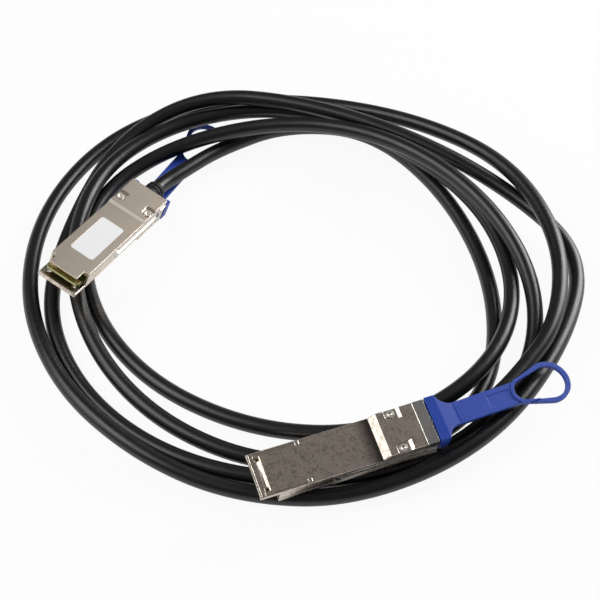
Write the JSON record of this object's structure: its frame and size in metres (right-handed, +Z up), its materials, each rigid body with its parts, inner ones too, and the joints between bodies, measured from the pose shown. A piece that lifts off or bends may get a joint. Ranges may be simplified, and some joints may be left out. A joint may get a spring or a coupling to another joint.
{
  "type": "direct attach copper cable",
  "caption": "Coiled direct attach copper cable with a die-cast pluggable connector and a blue pull tab at each end.",
  "frame": {"origin": "on the surface the coil lies on, under the middle of the box round the two connectors", "axes": "+Z up from the surface, +X to the right and +Y away, seen from the front of the lying coil"},
  "size_m": [0.2429, 0.2343, 0.0344],
  "materials": {
    "cast_metal": "fine grain nickel plate",
    "sheet_metal": "smooth",
    "stud_metal": "swaged",
    "label_film": "bare white film",
    "card_laminate": "solder mask",
    "contact_gold": "polished",
    "core_insulation": "natural",
    "boot_rubber": "matte",
    "tab_plastic": "satin",
    "cable_jacket": "satin"
  },
  "bodies": {
    "root": {"latch_side_shell_a": "cast_metal", "label_side_cover_a": "cast_metal", "label_a": "label_film", "paddle_card_a": "card_laminate", "edge_contacts_a": "contact_gold", "cable_cores_a": "core_insulation", "crimp_ferrule_a": "sheet_metal", "strain_relief_boot_a": "boot_rubber", "retaining_band_a": "sheet_metal", "swaged_studs_a": "stud_metal", "latch_side_shell_b": "cast_metal", "label_side_cover_b": "cast_metal", "label_b": "label_film", "paddle_card_b": "card_laminate", "edge_contacts_b": "contact_gold", "cable_cores_b": "core_insulation", "crimp_ferrule_b": "sheet_metal", "strain_relief_boot_b": "boot_rubber", "retaining_band_b": "sheet_metal", "swaged_studs_b": "stud_metal", "cable": "cable_jacket"},
    "latch_a": {"latch_slider_a": "sheet_metal", "pull_tab_a": "tab_plastic"},
    "latch_b": {"latch_slider_b": "sheet_metal", "pull_tab_b": "tab_plastic"}
  },
  "joints": [
    {"name": "latch_pull_a", "type": "slide", "parent": "root", "child": "latch_a", "axis": [0.4225, 0.874, -0.2402], "range_m": [0, 0.0025], "stiffness_N_per_m": 1500},
    {"name": "latch_pull_b", "type": "slide", "parent": "root", "child": "latch_b", "axis": [0.9408, 0.3387, 0.0087], "range_m": [0, 0.0025], "stiffness_N_per_m": 1500}
  ]
}
